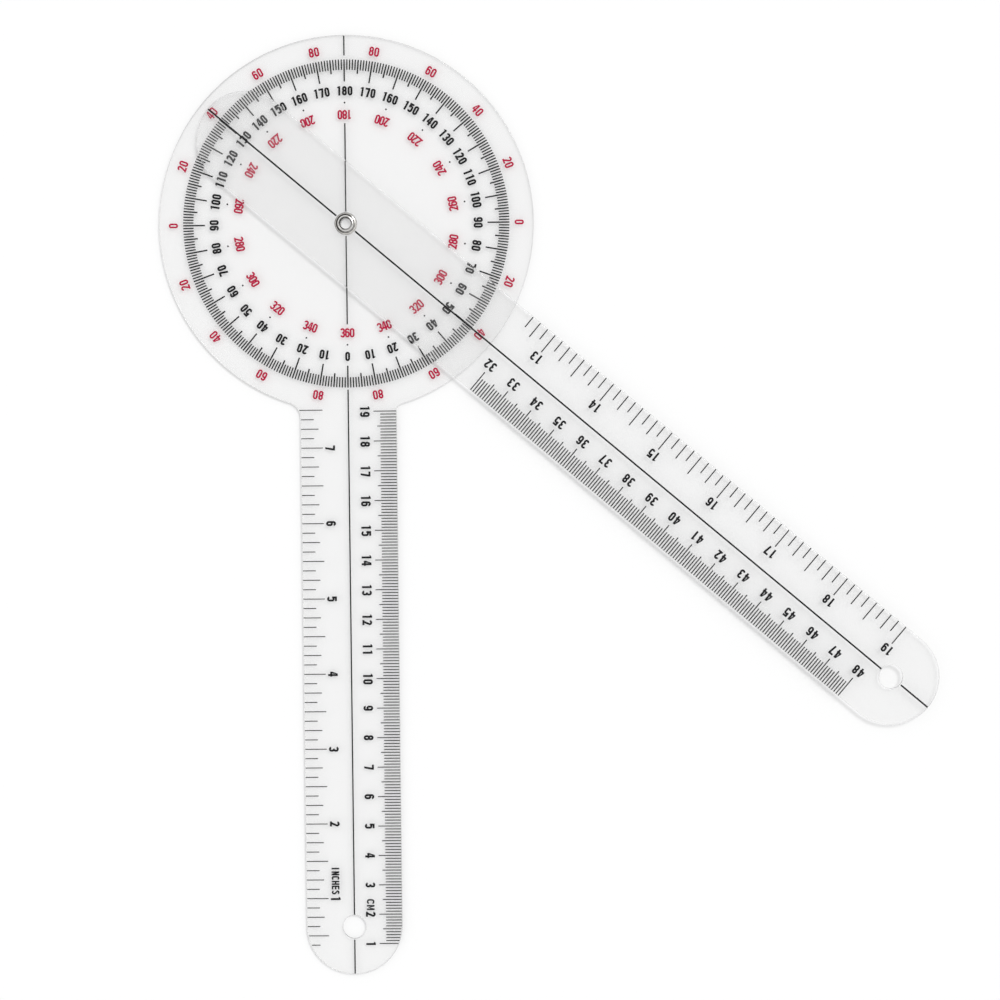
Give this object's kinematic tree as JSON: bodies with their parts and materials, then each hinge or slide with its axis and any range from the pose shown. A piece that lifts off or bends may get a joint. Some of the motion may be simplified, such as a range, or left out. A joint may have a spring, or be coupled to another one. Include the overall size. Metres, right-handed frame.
{
  "type": "goniometer",
  "caption": "Clear plastic full-circle goniometer: a dial with a fixed ruler arm and a moving ruler arm that turn on one hollow metal eyelet.",
  "frame": {"origin": "on the pivot axis at the lower face of the dial sheet", "axes": "+Z along the pivot axis towards the printed side; the fixed arm points along -Y; +X is the side of its centimetre ruler"},
  "size_m": [0.2599, 0.316, 0.0039],
  "materials": {
    "clear_plastic": "clear, lightly frosted",
    "eyelet_metal": "nickel plated, lightly worn",
    "washer_metal": "nickel plated, lightly worn",
    "black_ink": "printed ink",
    "red_ink": "printed ink"
  },
  "bodies": {
    "dial_arm": {"dial_plate": "clear_plastic", "pivot_eyelet": "eyelet_metal", "pivot_washer": "washer_metal", "degree_marks": "black_ink", "dial_index_line": "black_ink", "black_degree_numerals": "black_ink", "dial_dots": "black_ink", "fixed_cm_marks": "black_ink", "fixed_inch_marks": "black_ink", "fixed_cm_numerals": "black_ink", "fixed_inch_numerals": "black_ink", "inner_red_numerals": "red_ink", "outer_red_numerals": "red_ink"},
    "moving_arm": {"moving_arm_plate": "clear_plastic", "moving_index_line": "black_ink", "moving_cm_marks": "black_ink", "moving_inch_marks": "black_ink", "moving_cm_numerals": "black_ink", "moving_inch_numerals": "black_ink"}
  },
  "joints": [
    {"name": "arm_hinge", "type": "hinge", "parent": "dial_arm", "child": "moving_arm", "pos_m": [0, 0, 0], "axis": [0, 0, 1], "continuous": true}
  ]
}
